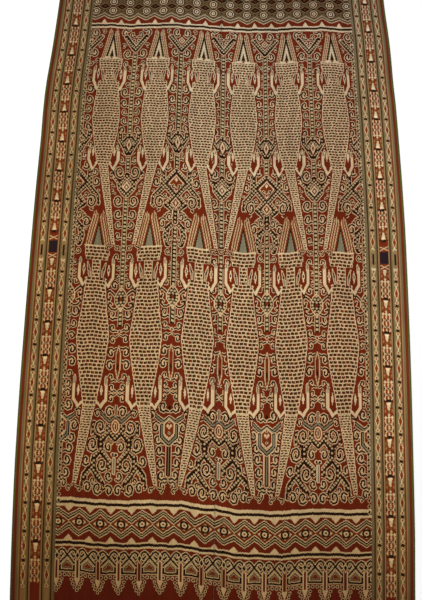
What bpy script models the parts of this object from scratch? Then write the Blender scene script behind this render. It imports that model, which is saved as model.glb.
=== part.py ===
"""Ikat woven cloth: two loom panels laid flat side by side, in metres, +Z up.

The origin is the middle of the cloth on the surface it lies on. +Y runs along the warp, towards the
upper end, and +X runs across. Each panel is a thin closed sheet whose underside is flat on z = 0
except where a soft ridge lifts it. The two panels meet edge to edge at x = 0, where they are sewn.
"""

import math

import bpy

# Driving sizes
LENGTH = 2.36
WIDTH = 1.16
CLOTH_THICKNESS = 0.0012
HEM_THICKNESS = 0.0024
HEM_WIDTH = 0.012
HEM_STEP = 0.003
SEAM_GAP = 0.0003

# Mesh resolution
CELLS_ACROSS = 14
CELLS_ALONG = 66

# Mean colour of each dyed panel, and how matt the cotton is
LEFT_COLOUR = (0.190, 0.050, 0.030, 1.0)
RIGHT_COLOUR = (0.180, 0.048, 0.030, 1.0)
COTTON_ROUGHNESS = 0.9

# The outline, one row for each station along the warp: where it is, as a share of half the length,
# and how far each outer edge lies from the seam there, as a share of half the width.
OUTLINE = (
    # along, left edge, right edge
    (-1.00, 0.9430, 0.9400),
    (-0.86, 0.9620, 0.9520),
    (-0.70, 0.9790, 0.9680),
    (-0.54, 0.9910, 0.9785),
    (-0.30, 0.9985, 0.9915),
    (0.00, 1.0000, 1.0000),
    (0.16, 0.9985, 0.9990),
    (0.32, 0.9930, 0.9925),
    (0.44, 0.9915, 0.9855),
    (0.50, 0.9850, 0.9790),
    (0.62, 0.9660, 0.9700),
    (0.77, 0.9480, 0.9480),
    (1.00, 0.9300, 0.9300),
)

# The soft ridges, where the cloth lifts a little off the surface. Each row is one ridge: its middle
# across and along, in metres, its reach across and along, its height, and its turn in degrees.
RIDGES = (
    # across, along, reach across, reach along, height, turn
    (-0.330, 0.452, 0.420, 0.060, 0.0032, 2.0),
    (0.260, 0.436, 0.330, 0.055, 0.0022, -3.0),
    (-0.480, 0.610, 0.130, 0.050, 0.0030, 10.0),
    (0.440, 0.790, 0.160, 0.070, 0.0026, -8.0),
    (0.420, 0.070, 0.200, 0.080, 0.0020, 14.0),
    (-0.410, -0.120, 0.190, 0.090, 0.0024, -12.0),
    (0.180, -0.455, 0.340, 0.060, 0.0022, 4.0),
    (-0.470, -0.640, 0.130, 0.060, 0.0026, 8.0),
    (0.470, -0.830, 0.120, 0.070, 0.0028, -9.0),
    (-0.150, 0.960, 0.320, 0.060, 0.0024, 3.0),
)


def smooth_table(rows, at, column):
    """Reads a table's column at a place, with a smooth curve through its rows."""
    places = [row[0] for row in rows]
    values = [row[column] for row in rows]
    index = 0
    while index < len(rows) - 2 and at > places[index + 1]:
        index += 1

    def slope(k):
        low, high = max(k - 1, 0), min(k + 1, len(rows) - 1)
        return (values[high] - values[low]) / (places[high] - places[low])

    span = places[index + 1] - places[index]
    t = min(max((at - places[index]) / span, 0.0), 1.0)
    start, end = values[index], values[index + 1]
    return (
        (2 * t**3 - 3 * t**2 + 1) * start
        + (t**3 - 2 * t**2 + t) * span * slope(index)
        + (3 * t**2 - 2 * t**3) * end
        + (t**3 - t**2) * span * slope(index + 1)
    )


def edge_distance(along, side):
    """How far the outer edge lies from the seam, on the left (-1) or the right (+1)."""
    column = 1 if side < 0 else 2
    return WIDTH / 2 * smooth_table(OUTLINE, along / (LENGTH / 2), column)


def lift(across, along):
    """How high the underside is over the surface at a place."""
    height = 0.0
    for middle_x, middle_y, reach_x, reach_y, top, turn in RIDGES:
        angle = math.radians(turn)
        dx, dy = across - middle_x, along - middle_y
        u = (dx * math.cos(angle) + dy * math.sin(angle)) / reach_x
        v = (dy * math.cos(angle) - dx * math.sin(angle)) / reach_y
        if abs(u) < 1 and abs(v) < 1:
            height += top * math.cos(u * math.pi / 2) ** 2 * math.cos(v * math.pi / 2) ** 2
    return height


def rows_along():
    """The places of the mesh rows along the warp, with the hems' own rows at both ends."""
    half = LENGTH / 2
    inner = half - HEM_WIDTH - HEM_STEP
    middle = [-inner + 2 * inner * k / CELLS_ALONG for k in range(CELLS_ALONG + 1)]
    return [-half, -half + HEM_WIDTH] + middle + [half - HEM_WIDTH, half]


def weave_panel(name, side, colour):
    """One loom panel: an open surface on the underside's shape, thickened upwards."""
    rows = rows_along()
    points, faces, in_hem = [], [], []
    for along in rows:
        edge = edge_distance(along, side)
        for k in range(CELLS_ACROSS + 1):
            across = side * (SEAM_GAP / 2 + (edge - SEAM_GAP / 2) * k / CELLS_ACROSS)
            if abs(along) > LENGTH / 2 - HEM_WIDTH - HEM_STEP / 2:
                in_hem.append(len(points))
            points.append((across, along, lift(across, along)))
    stride = CELLS_ACROSS + 1
    for row in range(len(rows) - 1):
        for k in range(CELLS_ACROSS):
            a = row * stride + k
            corners = (a, a + 1, a + 1 + stride, a + stride)
            faces.append(corners if side > 0 else corners[::-1])
    mesh = bpy.data.meshes.new(name)
    mesh.from_pydata(points, [], faces)
    mesh.materials.append(dyed_cotton(name, colour))
    panel = bpy.data.objects.new(name, mesh)

    # The hem is the cloth's own end turned over, so it is thicker than the rest.
    thickness = panel.vertex_groups.new(name="thickness")
    share = CLOTH_THICKNESS / HEM_THICKNESS
    thickness.add(list(range(len(points))), share, "REPLACE")
    thickness.add(in_hem, 1.0, "REPLACE")
    shell = panel.modifiers.new("Thickness", "SOLIDIFY")
    shell.thickness = HEM_THICKNESS
    shell.offset = 1.0
    shell.vertex_group = thickness.name
    return panel


def dyed_cotton(name, colour):
    """Matt cotton in one plain tone."""
    material = bpy.data.materials.new("Dyed cotton " + name)
    material.use_nodes = True
    shader = material.node_tree.nodes["Principled BSDF"]
    shader.inputs["Base Color"].default_value = colour
    shader.inputs["Roughness"].default_value = COTTON_ROUGHNESS
    shader.inputs["Metallic"].default_value = 0.0
    return material


def main():
    for thing in list(bpy.data.objects):
        bpy.data.objects.remove(thing, do_unlink=True)
    cloth = bpy.data.collections.new("Ikat woven cloth")
    bpy.context.scene.collection.children.link(cloth)
    cloth.objects.link(weave_panel("panel_left", -1, LEFT_COLOUR))
    cloth.objects.link(weave_panel("panel_right", 1, RIGHT_COLOUR))


main()
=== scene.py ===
"""Ikat woven cloth: the two loom panels of a warp-ikat blanket, dyed, sewn and laid out flat.

The pattern is drawn the way it is dyed. A plan holds the dye at every place along every bundle of
warp yarns, and each motif is tied into it from a few real sizes. The mesh carries, for each bundle
in each of its cells, where the dye turns, and the material reads those turns yarn by yarn, so the
edges bleed and step as the real ones do.
"""

import math

import bpy
import numpy as np
from bpy.props import FloatProperty, FloatVectorProperty, IntProperty, PointerProperty
from mathutils import Matrix, Vector


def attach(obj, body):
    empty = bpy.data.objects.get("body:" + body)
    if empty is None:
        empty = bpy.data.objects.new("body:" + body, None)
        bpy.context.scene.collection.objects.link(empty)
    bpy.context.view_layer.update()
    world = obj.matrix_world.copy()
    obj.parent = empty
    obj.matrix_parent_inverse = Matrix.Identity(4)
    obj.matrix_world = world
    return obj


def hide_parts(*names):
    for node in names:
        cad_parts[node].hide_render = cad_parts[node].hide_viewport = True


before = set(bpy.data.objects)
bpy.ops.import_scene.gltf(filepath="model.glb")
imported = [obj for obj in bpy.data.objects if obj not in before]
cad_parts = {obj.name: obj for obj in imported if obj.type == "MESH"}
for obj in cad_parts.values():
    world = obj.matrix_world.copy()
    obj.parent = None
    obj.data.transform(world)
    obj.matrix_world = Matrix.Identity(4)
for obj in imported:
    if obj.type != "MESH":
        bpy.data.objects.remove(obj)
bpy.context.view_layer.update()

bl_info = {
    "name": "Ikat Woven Cloth",
    "version": (1, 0, 0),
    "blender": (4, 5, 0),
    "location": "3D View > Sidebar > Ikat Cloth",
    "description": "Weaves, dyes and sews a two-panel warp-ikat blanket",
    "category": "Add Mesh",
}

# Sizes of the cloth and of its side borders, in millimetres
HALF_WIDTH = 580.0
HALF_LENGTH = 1180.0
BORDER = 126.0

# How far past each end stripes are dyed, so that bundles which slip are covered too
PAST_ENDS = 40.0

# One millimetre, and the gap between the panels at the seam, in metres
MM = 0.001
SEAM_GAP = 0.0003

# The dyes, numbered as the plan holds them
RED, CREAM, BLACK, OLIVE, INDIGO, CRIMSON, TAN, GREEN, PALE, GREY, BROWN, RUST, STRAW = range(13)
DYES = 13

# How far the two cross lines near the ends wander, in millimetres, by how far across they are
DRIFT = (
    # across, upper line, lower line
    (-580, 3, 12),
    (-440, 2, 11),
    (-370, 2, 8),
    (-310, -1, 3),
    (-240, 5, 4),
    (-160, 7, 6),
    (-100, 3, 4),
    (-40, -1, -4),
    (0, -4, -7),
    (60, -7, -16),
    (150, -7, -19),
    (220, -3, -17),
    (290, 2, -10),
    (350, 3, -12),
    (440, -3, -11),
    (580, -3, -13),
)
UPPER_LINE = 797.0
LOWER_LINE = -770.0
SECOND_LINE = -880.0


def drift_at(x):
    """How far the upper and the lower cross line wander at places across."""
    table = np.array(DRIFT, dtype=float)
    return np.interp(x, table[:, 0], table[:, 1]), np.interp(x, table[:, 0], table[:, 2])


class DyePlan:
    """The dye at each place on the warp, with a row of the array for each bundle of yarns.

    x is how far a bundle lies across from the seam, and y how far along the cloth a place lies from
    its middle, both in millimetres. Bundles slip along each other after they are dyed, so motifs
    are drawn in a y that has that slip in it.
    """

    def __init__(self, bundles, tick):
        self.step = HALF_WIDTH / bundles
        self.tick = tick
        self.across = (np.arange(2 * bundles) + 0.5) * self.step - HALF_WIDTH
        self.along = (np.arange(round(2 * HALF_LENGTH / tick)) + 0.5) * tick - HALF_LENGTH
        self.x, y = np.meshgrid(self.across, self.along, indexing="ij")
        self.y = y - self.slip(self.x, y)
        self.dye = np.full(self.x.shape, RED, dtype=np.uint8)

    def slip(self, x, y):
        """How far the pattern lies off its place: a slow drift across, and each bundle's own slip."""
        upper, lower = drift_at(x)
        share = np.clip((UPPER_LINE - y) / (UPPER_LINE - LOWER_LINE), 0.0, 1.0)
        drift = upper * (1 - share) + lower * share
        ripple = 0.9 * np.sin(x / 17.0 + y / 140.0) + 0.6 * np.sin(x / 7.3 - y / 95.0)
        rng = np.random.default_rng(4)
        own = rng.normal(0.0, 0.45, len(self.across))[:, None]
        return drift + ripple + own

    def window(self, x0, x1, y0, y1):
        """The part of the plan that holds a box, with room for the slip."""
        upper, lower = drift_at(np.linspace(x0, x1, 24))
        least = min(upper.min(), lower.min()) - 4
        most = max(upper.max(), lower.max()) + 4
        a = max(int((x0 + HALF_WIDTH) / self.step) - 1, 0)
        b = min(int((x1 + HALF_WIDTH) / self.step) + 2, len(self.across))
        c = max(int((y0 + least + HALF_LENGTH) / self.tick), 0)
        d = min(int((y1 + most + HALF_LENGTH) / self.tick) + 1, len(self.along))
        return (slice(a, max(b, a)), slice(c, max(d, c)))

    def fill(self, box, inside, dye):
        """Dyes the places in a box (x0, x1, y0, y1) for which inside(x, y) holds."""
        part = self.window(*box)
        held = inside(self.x[part], self.y[part])
        self.dye[part][held] = dye

    def line(self, points, width, dye):
        """Dyes a line of straight runs."""
        def inside(x, y):
            return distance_to(points, x, y) <= width / 2

        self.fill(box_of(points, width / 2), inside, dye)

    def lines(self, points, cx, cy, width, dye):
        """Dyes a line beside a place and its mirror image on the other side."""
        for side in (-1, 1):
            self.line(mirrored(points, cx, cy, side), width, dye)

    def shape(self, points, dye):
        """Dyes a closed outline."""
        self.fill(box_of(points, 0.0), lambda x, y: in_outline(points, x, y), dye)

    def lozenge(self, cx, cy, rx, ry, dye):
        """Dyes a lozenge of half sizes rx and ry."""
        def inside(x, y):
            return np.abs(x - cx) / rx + np.abs(y - cy) / ry <= 1

        self.fill((cx - rx, cx + rx, cy - ry, cy + ry), inside, dye)

    def nested(self, cx, cy, lozenges):
        """Dyes lozenges one inside the other, from a table of half sizes and dyes."""
        for rx, ry, dye in lozenges:
            self.lozenge(cx, cy, rx, ry, dye)

    def disc(self, cx, cy, radius, dye, tall=1.0):
        """Dyes a round spot, or an oval one that is so many times taller than wide."""
        def inside(x, y):
            return np.hypot(x - cx, (y - cy) / tall) <= radius

        self.fill((cx - radius, cx + radius, cy - radius * tall, cy + radius * tall), inside, dye)

    def stripe(self, inner, outer, dye, low=-HALF_LENGTH - PAST_ENDS, high=HALF_LENGTH + PAST_ENDS):
        """Dyes a stripe along the warp on both sides of the cloth."""
        for side in (-1, 1):
            x0, x1 = sorted((side * inner, side * outer))

            def inside(x, y, x0=x0, x1=x1):
                return (x >= x0) & (x < x1) & (y >= low) & (y < high)

            self.fill((x0, x1, low, high), inside, dye)


def distance_to(points, x, y):
    """How far each place lies from a line of straight runs."""
    best = np.full(x.shape, np.inf)
    for (ax, ay), (bx, by) in zip(points, points[1:]):
        dx, dy = bx - ax, by - ay
        t = np.clip(((x - ax) * dx + (y - ay) * dy) / max(dx * dx + dy * dy, 1e-9), 0, 1)
        best = np.minimum(best, np.hypot(x - ax - t * dx, y - ay - t * dy))
    return best


def in_outline(points, x, y):
    """True where a place lies inside a closed outline."""
    held = np.zeros(x.shape, dtype=bool)
    for (ax, ay), (bx, by) in zip(points, points[1:] + points[:1]):
        if ay == by:
            continue
        crosses = (ay > y) != (by > y)
        held ^= crosses & (x < ax + (bx - ax) * (y - ay) / (by - ay))
    return held


def box_of(points, room):
    """The box round some points, with room on every side: x0, x1, y0, y1."""
    xs, ys = [p[0] for p in points], [p[1] for p in points]
    return min(xs) - room, max(xs) + room, min(ys) - room, max(ys) + room


def mirrored(points, cx, cy, side):
    """Points given outwards and upwards from a place, set to its right (1) or left (-1)."""
    return [(cx + side * u, cy + v) for u, v in points]


# Small motifs

# Which way a curl rolls: up from its stem and over, or down and under
UP, DOWN = 1, -1


def stroke_of(radius):
    """How wide the drawn line of a curl is."""
    return 9.6 if radius >= 14 else max(7.4, radius * 0.70)


def curl(reach, radius, way, joined=True):
    """A fern-like curl in straight runs: slanting out from its stem, round the outside and back in,
    with as many turns as it has room for. It is taller than wide, since it is tied along the warp."""
    width = stroke_of(radius)
    pitch = width + 4.6
    wide, tall = radius - width / 2 + 0.3, radius * 1.3 - width / 2 + 0.3
    turns = (wide - 1.5) / pitch + 0.42
    steps = max(round(turns * 8), 4)
    points = []
    for k in range(steps + 1):
        turn = turns * k / steps
        angle = math.radians(-140 + 360 * turn)
        inwards = pitch * max(turn - 0.36, 0.0)
        u = max(wide - inwards, 1.5) * math.cos(angle)
        v = max(tall - inwards, 1.5) * math.sin(angle)
        points.append((reach + u, way * v))
    if joined:
        root = min(max(reach - radius * 1.1, 4.0), points[0][0])
        points.insert(0, (root, points[0][1] - way * 4.0))
    return points


def draw(plan, points, width, core=BLACK):
    """A dark line between two pale ones."""
    plan.line(points, width, STRAW)
    plan.line(points, width * 0.54, core)


def hooks(plan, cx, cy, rows, joined=True, sides=(-1, 1)):
    """Mirrored curls beside an upright, from a table of along, reach, radius and way."""
    drawn = []
    for along, reach, radius, way in rows:
        for side in sides:
            line = mirrored(curl(reach, radius, way, joined), cx, cy + along, side)
            plan.line(line, stroke_of(radius) + 5.0, RED)
            plan.lozenge(cx + side * reach, cy + along, radius * 0.8, radius * 1.1, RUST)
            drawn.append((line, stroke_of(radius)))
    for line, width in drawn:
        draw(plan, line, width)


def dots_within(plan, cx, cy, lines, width):
    """Pale dots in slanting rows, wherever a whole dot fits between the edges of the bands."""
    across, along, room = width * 0.58, width * 0.34, width * 0.225
    left, right, low, high = box_of([point for line in lines for point in line], room)
    first, last = int((low - cy) / along) - 1, int((high - cy) / along) + 2
    number, row = np.meshgrid(np.arange(-11, 12), np.arange(first, last))
    x, y = cx + (number + row % 2 / 2) * across, cy + row * along
    near = np.min([distance_to(line, x, y) for line in lines], axis=0)
    for u, v in zip(x[near < room], y[near < room]):
        plan.disc(u, v, width * 0.16, PALE)


def chains(plan, cx, cy, runs, width=20.0, sides=(-1, 1)):
    """Mirrored black bands of pale dots, edged in straw, that run into each other where they meet."""
    lines = [mirrored(run, cx, cy, side) for side in sides for run in runs]
    for room, dye in ((5.0, RED), (0.0, STRAW), (-4.8, BLACK)):
        for line in lines:
            plan.line(line, width + room, dye)
    dots_within(plan, cx, cy, lines, width)


def stem(plan, cx, low, high, pitch=13.0):
    """An upright of pale squares on black between thin pale rails."""
    def band(half):
        return lambda x, y: (np.abs(x - cx) <= half) & (y >= low) & (y <= high)

    def light(x, y):
        return band(4.0)(x, y) & ((y - low) % pitch > 5.8)

    box = (cx - 9, cx + 9, low, high)
    plan.fill(box, band(8.2), PALE)
    plan.fill(box, band(6.2), BLACK)
    plan.fill(box, light, PALE)


def ringed(plan, cx, cy, rx, ry, core=RED):
    """A cream lozenge with a dyed middle and, if there is room, a cream heart."""
    plan.lozenge(cx, cy, rx, ry, CREAM)
    plan.lozenge(cx, cy, rx * 0.62, ry * 0.68, core)
    if rx > 9:
        plan.lozenge(cx, cy, rx * 0.30, ry * 0.36, CREAM)


def dot(plan, cx, cy, radius=3.6, core=BLACK):
    """A cream ring with a dyed middle."""
    plan.disc(cx, cy, radius * 1.45, CREAM)
    plan.disc(cx, cy, radius * 0.90, core)


# Columns of motifs between the crocodiles. Each row is a mirrored pair of curls.

WIDE_COLUMN = (
    # along, reach, radius, way
    (768, 39, 14, DOWN),
    (764, 13, 11, UP),
    (718, 41, 9, DOWN),
    (690, 25, 16, UP),
    (652, 27, 11, UP),
    (634, 13, 8, UP),
    (604, 12, 8, UP),
    (576, 14, 9, UP),
    (546, 22, 15, UP),
    (506, 22, 14, UP),
    (472, 19, 11, UP),
    (440, 19, 12, UP),
    (405, 23, 15, UP),
    (346, 34, 15, UP),
    (301, 20, 12, UP),
    (216, 48, 8, UP),
    (192, 43, 8, UP),
    (159, 23, 17, UP),
    (114, 21, 15, UP),
    (79, 19, 12, UP),
    (42, 19, 12, UP),
    (3, 19, 9, UP),
    (-29, 19, 12, UP),
    (-62, 13, 8, UP),
    (-89, 14, 8, UP),
    (-119, 20, 13, DOWN),
    (-210, 23, 16, UP),
    (-252, 20, 12, UP),
    (-288, 18, 12, DOWN),
    (-328, 21, 14, DOWN),
    (-367, 23, 14, DOWN),
    (-403, 18, 12, UP),
    (-434, 15, 12, UP),
    (-465, 16, 12, DOWN),
)

NARROW_COLUMN = (
    # along, reach, radius, way
    (718, 37, 9, DOWN),
    (693, 20, 14, UP),
    (664, 31, 9, UP),
    (650, 13, 9, UP),
    (619, 12, 8, UP),
    (590, 14, 9, UP),
    (557, 21, 14, UP),
    (517, 22, 14, UP),
    (482, 20, 12, UP),
    (447, 19, 12, UP),
    (413, 22, 15, UP),
    (351, 34, 12, UP),
    (312, 20, 12, UP),
    (-10, 20, 10, UP),
    (-48, 14, 9, UP),
    (-77, 14, 8, UP),
    (-108, 20, 12, DOWN),
    (-205, 23, 16, UP),
    (-244, 20, 12, UP),
    (-283, 17, 12, DOWN),
    (-325, 20, 14, DOWN),
    (-363, 21, 14, DOWN),
    (-400, 17, 12, UP),
    (-429, 14, 12, UP),
    (-460, 16, 12, DOWN),
    (-492, 18, 15, UP),
)


def gull(plan, cx, cy, reach, drop):
    """A dark band with a grey core, shaped like spread wings, between two straw lines."""
    half = [(0, 0), (reach * 0.38, -drop), (reach, drop * 0.7)]
    for width, dye in ((21.0, RED), (16.0, STRAW), (11.6, BLACK), (4.4, GREY)):
        plan.lines(half, cx, cy, width, dye)


def crossed_diamond(plan, cx, cy):
    """Two chains that cross round a cream heart, on a dark fork."""
    for side in (-1, 1):
        draw(plan, mirrored([(3, -46), (20, -29)], cx, cy, side), 10.0)
    chains(plan, cx, cy, ([(30, 32), (29, 12), (17, -8), (4, -36)], [(0, 30), (15, 8)]), 17.0)
    plan.nested(cx, cy - 4, ((12, 27, RED), (8.6, 22, CREAM), (3.8, 12, RUST)))


def star(plan, cx, cy):
    """A tall dotted figure with four hooked arms."""
    upper = [(13, 14), (27, 29), (35, 35), (43, 27), (42, 11), (35, 4), (32, 14)]
    lower = [(9, -18), (17, -24), (27, -23), (37, -13), (34, -3), (27, -7)]
    arms = [mirrored(arm, cx, cy, side) for side in (-1, 1) for arm in (upper, lower)]
    for arm in arms:
        plan.line(arm, 14.5, RED)
    for arm in arms:
        draw(plan, arm, 10.0)
    half = [(0, 48), (12, 34), (20, 16), (20, -2), (0, -30)]
    body = half + mirrored(half, 0, 0, -1)[::-1]
    for size, dye in ((1.0, STRAW), (0.87, BLACK)):
        plan.shape([(cx + u * size, cy + 11 + (v - 11) * size) for u, v in body], dye)
    dots = (
        # along, across
        (37, (0,)),
        (27, (-5, 5)),
        (18, (-11, 0, 11)),
        (8, (-13, 13)),
        (-1, (-11, 0, 11)),
        (-10, (-5, 5)),
        (-19, (0,)),
    )
    for along, places in dots:
        for across in places:
            plan.disc(cx + across, cy + along, 3.6, PALE)
    plan.lozenge(cx, cy + 9, 6.0, 7.4, RUST)


def slot_window(plan, cx, high, low):
    """A long red opening between two pale rails, with a dark seed in it."""
    rail = [(0, high + 12), (6.2, high - 12), (6.2, low + 18), (0, low - 12)]
    for width, dye in ((7.5, RED), (3.2, PALE)):
        plan.lines(rail, cx, 0, width, dye)
    middle = (high + low) / 2
    plan.lozenge(cx, middle, 3.8, (high - low) / 2, RUST)
    plan.lozenge(cx, middle - 12, 2.8, 13, BLACK)


def wide_fill(plan, cx):
    """The column of motifs in the wide gaps, down to the crossed chains above the lower line."""
    hooks(plan, cx, 0, WIDE_COLUMN)
    stem(plan, cx, 188, 700)
    stem(plan, cx, -248, 182)
    chains(plan, cx, 0, ([(34, 754), (0, 704)],))
    crossed_diamond(plan, cx, 360)
    chains(plan, cx, 0, ([(46, 250), (22, 222), (20, 204), (2, 180)], [(0, 250), (18, 226)]))
    hooks(plan, cx, 0, ((259, 23, 18, UP),), joined=False)
    for side in (-1, 1):
        dot(plan, cx + side * 49, 242, 5.0, RUST)
    ringed(plan, cx, 207, 14, 18)
    ringed(plan, cx, -265, 7, 8)
    star(plan, cx, -172)
    slot_window(plan, cx, -320, -398)
    for side in (-1, 1):
        dot(plan, cx + side * 8, 740, 4.2)
    dot(plan, cx, 728, 3.4)
    crossed_chains(plan, cx, -500)


def crossed_chains(plan, cx, top):
    """The large hooked figure of chains, from its winged top down to its feet of curls."""
    chains(plan, cx, top, (
        [(20, -36), (21, -66), (41, -94), (41, -117), (30, -134), (16, -150), (15, -164)],
        [(62, -44), (62, -72), (41, -94)],
        [(41, -117), (58, -140), (61, -160), (58, -176), (43, -198), (33, -214), (31, -226)],
        [(61, -160), (84, -190), (88, -222)],
        [(21, -62), (0, -84)],
    ))
    hooks(plan, cx, top, (
        (-53, 43, 19, UP),
        (-104, 64, 20, UP),
        (-107, 17, 15, DOWN),
        (-161, 34, 18, UP),
        (-150, 81, 14, UP),
        (-191, 14, 13, UP),
        (-206, 59, 11, UP),
        (-230, -14, 14, DOWN),
        (-226, 45, 16, UP),
        (-224, -76, 14, DOWN),
    ), joined=False)
    for side in (-1, 1):
        dot(plan, cx + side * 4.5, top - 129, 4.4)
        draw(plan, mirrored([(6, -96), (17, -88), (26, -94)], cx, top, side), 4.0, RUST)
    for width, dye in ((16, RED), (10, CREAM), (5, GREY)):
        plan.line([(cx, top - 140), (cx, top - 182)], width, dye)
    gull(plan, cx, top - 19, 48, 15)
    hooks(plan, cx, top, ((-6, 18, 15, DOWN), (-14, 53, 11, DOWN)), joined=False)
    draw(plan, [(cx, top + 12), (cx, top - 14)], 8.0)
    for radius, tall, dye in (
        (15.5, 1.5, RED),
        (12.5, 1.6, STRAW),
        (9.0, 1.75, RUST),
        (4.6, 2.6, STRAW),
        (2.4, 3.6, BLACK),
    ):
        plan.disc(cx, top - 48, radius, dye, tall)


def narrow_fill(plan, cx):
    """The column of motifs in the narrow gaps, with the large hooked diamond at its middle."""
    hooks(plan, cx, 0, NARROW_COLUMN)
    stem(plan, cx, 268, 700)
    stem(plan, cx, -240, 96)
    ringed(plan, cx, -258, 7, 8)
    chains(plan, cx, 0, ([(38, 752), (0, 702)],))
    hooks(plan, cx, 0, ((768, 17, 15, UP), (772, 46, 8, DOWN)), joined=False)
    ringed(plan, cx, 740, 12, 13)
    crossed_diamond(plan, cx, 366)
    star(plan, cx, -163)
    slot_window(plan, cx, -316, -402)
    hooked_diamond(plan, cx, 185)
    standing_figure(plan, cx, -500)


def hooked_diamond(plan, cx, middle):
    """The large diamond of crossing chains with curls at its corners."""
    chains(plan, cx, middle, (
        [(0, 76), (38, 33), (4, -8), (28, -40), (0, -64)],
        [(42, 90), (42, 20), (68, -12), (70, -36), (56, -54)],
        [(0, -64), (22, -72), (44, -98), (36, -112)],
        [(0, -94), (23, -118), (28, -146), (21, -172)],
    ))
    chains(plan, cx, middle, ([(0, -58), (0, -96)],), sides=(1,))
    hooks(plan, cx, middle, (
        (93, 27, 14, UP),
        (72, 56, 12, UP),
        (38, 62, 14, UP),
        (-30, 50, 20, DOWN),
        (-8, 33, 9, UP),
        (-80, 17, 12, UP),
        (-101, 39, 16, DOWN),
        (-158, 13, 10, DOWN),
    ), joined=False)
    plan.nested(cx, middle + 34, ((28, 34, RED), (25, 31, CREAM), (21, 26, RUST)))
    hooks(plan, cx, middle, ((25, 8, 8, UP),), joined=False)
    ringed(plan, cx, middle + 47, 5, 8, CREAM)
    plan.nested(cx, middle - 32, ((18, 23, RED), (15, 20, CREAM), (11, 15, RUST), (4, 9, CREAM)))
    for side in (-1, 1):
        dot(plan, cx + side * 72, middle + 8, 3.0)
        dot(plan, cx + side * 41, middle - 124, 3.0)


def standing_figure(plan, cx, top):
    """A narrow figure with an oval face, spread wings and a straight body with curls."""
    hooks(plan, cx, top, (
        (-50, 38, 16, DOWN),
        (-86, 31, 14, UP),
        (-117, 26, 14, UP),
        (-152, 22, 14, UP),
        (-187, 19, 14, UP),
        (-217, 14, 12, DOWN),
    ))
    body = [(cx, top - 96), (cx, top - 186)]
    for width, dye in ((22, RED), (18, STRAW), (13, RUST), (8.6, BLACK), (3.2, GREY)):
        plan.line(body, width, dye)
    gull(plan, cx, top - 24, 44, 13)
    hooks(plan, cx, top, ((-14, 50, 13, DOWN),), joined=False)
    for width, dye in ((16, STRAW), (11.6, BLACK), (4.4, GREY)):
        plan.lines([(21, -46), (21, -78), (0, -99)], cx, top, width, dye)
    face = [(0, -24), (16, -40), (16, -70), (0, -86), (-16, -70), (-16, -40)]
    for size, dye in ((1.02, STRAW), (0.86, RUST)):
        plan.shape([(cx + u * size, top - 55 + (v + 55) * size) for u, v in face], dye)
    for side in (-1, 1):
        plan.lozenge(cx + side * 4.6, top - 47, 4.4, 6.0, STRAW)
    plan.lozenge(cx, top - 53, 3.4, 5.4, STRAW)
    dot(plan, cx, top - 35, 2.8)
    dot(plan, cx, top - 68, 2.8)
    plan.lozenge(cx, top + 6, 5, 8, BLACK)


# Crocodiles

# Where each one's body and tail tip lie across, by tier
CROCODILES = (
    # axis, upper tail tip, lower tail tip
    (-373, -325, -408),
    (-214, -263, -171),
    (-59, -6, -104),
    (76, 22, 112),
    (223, 271, 179),
    (378, 328, 411),
)

# Half the width of a crocodile at places along it, from its tail tip to its neck
UPPER_OUTLINE = (
    # along, half width
    (6, 5),
    (284, 15),
    (286, 19),
    (300, 23),
    (350, 32),
    (400, 40),
    (450, 45),
    (500, 42),
    (545, 37),
    (586, 34),
    (586.1, 14.5),
    (625, 14.5),
    (625.1, 34),
    (640, 36),
    (641, 38),
    (668, 39),
)
LOWER_OUTLINE = (
    # along, half width
    (-726, 4),
    (-700, 7),
    (-600, 13),
    (-494, 18),
    (-480, 21),
    (-450, 25),
    (-400, 34),
    (-350, 42),
    (-285, 49),
    (-250, 46),
    (-200, 39),
    (-150, 34),
    (-98, 30),
    (-97.9, 13),
    (-40, 13),
    (-39.9, 34),
    (-26, 35),
    (-25, 37),
    (6, 39),
)

# Bent limbs: how far out each starts, bends and rises, and how far its elbow drops below the joint
# and its palm and fingertip rise above it
LIMBS = {
    # start, elbow, reach, drop, rise, tip
    "upper arms": (28, 39, 51, 26, 34, 62),
    "upper legs": (17, 34, 47, 27, 26, 50),
    "lower arms": (28, 39, 52, 21, 42, 70),
    "lower legs": (17, 34, 48, 15, 42, 78),
}

# The courses of dashes on a body, by tier: how far apart they are, which share of that is the cream
# line between them, and how long a dash is
COURSES = {
    "upper": (9.2, 0.31, 10.6),
    "lower": (11.2, 0.27, 12.4),
    "tail": (7.4, 0.36, 10.4),
}


def crocodile(plan, axis, tail_tip, upper):
    """One crocodile seen from above: jaws up, arms and feet bent up, tail down."""
    outline = np.array(UPPER_OUTLINE if upper else LOWER_OUTLINE, dtype=float)
    end, jaw = outline[0, 0], outline[-1, 0]
    hip, shoulder, tip = (290, 586, 784) if upper else (-484, -98, 126)

    def centre(y):
        return axis + (tail_tip - axis) * np.clip((hip - y) / (hip - end), 0, 1)

    def reach(y):
        return np.interp(y, outline[:, 0], outline[:, 1])

    def around(x, y):
        return (np.abs(x - centre(y)) < reach(y) + 4.2) & (y > end - 5) & (y < jaw + 3)

    def within(x, y):
        return (np.abs(x - centre(y)) < reach(y)) & (y > end) & (y < jaw)

    tier = "upper" if upper else "lower"
    side_room = 56 + abs(tail_tip - axis)
    box = (axis - side_room, axis + side_room, end - 6, jaw + 4)
    plan.fill(box, around, RED)
    limbs(plan, axis, shoulder, *LIMBS[tier + " arms"])
    limbs(plan, axis, hip + 8, *LIMBS[tier + " legs"])
    leaves(plan, axis, shoulder, hip)
    plan.fill(box, within, CREAM)
    bricks(plan, box, centre, reach, hip - 6, jaw, *COURSES[tier])
    bricks(plan, box, centre, reach, end + 3, hip - 6, *COURSES["tail"])
    jaws(plan, axis, tip, jaw, upper)
    hooks(plan, tail_tip, end - 6, ((0, 15, 8, DOWN),))


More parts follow.
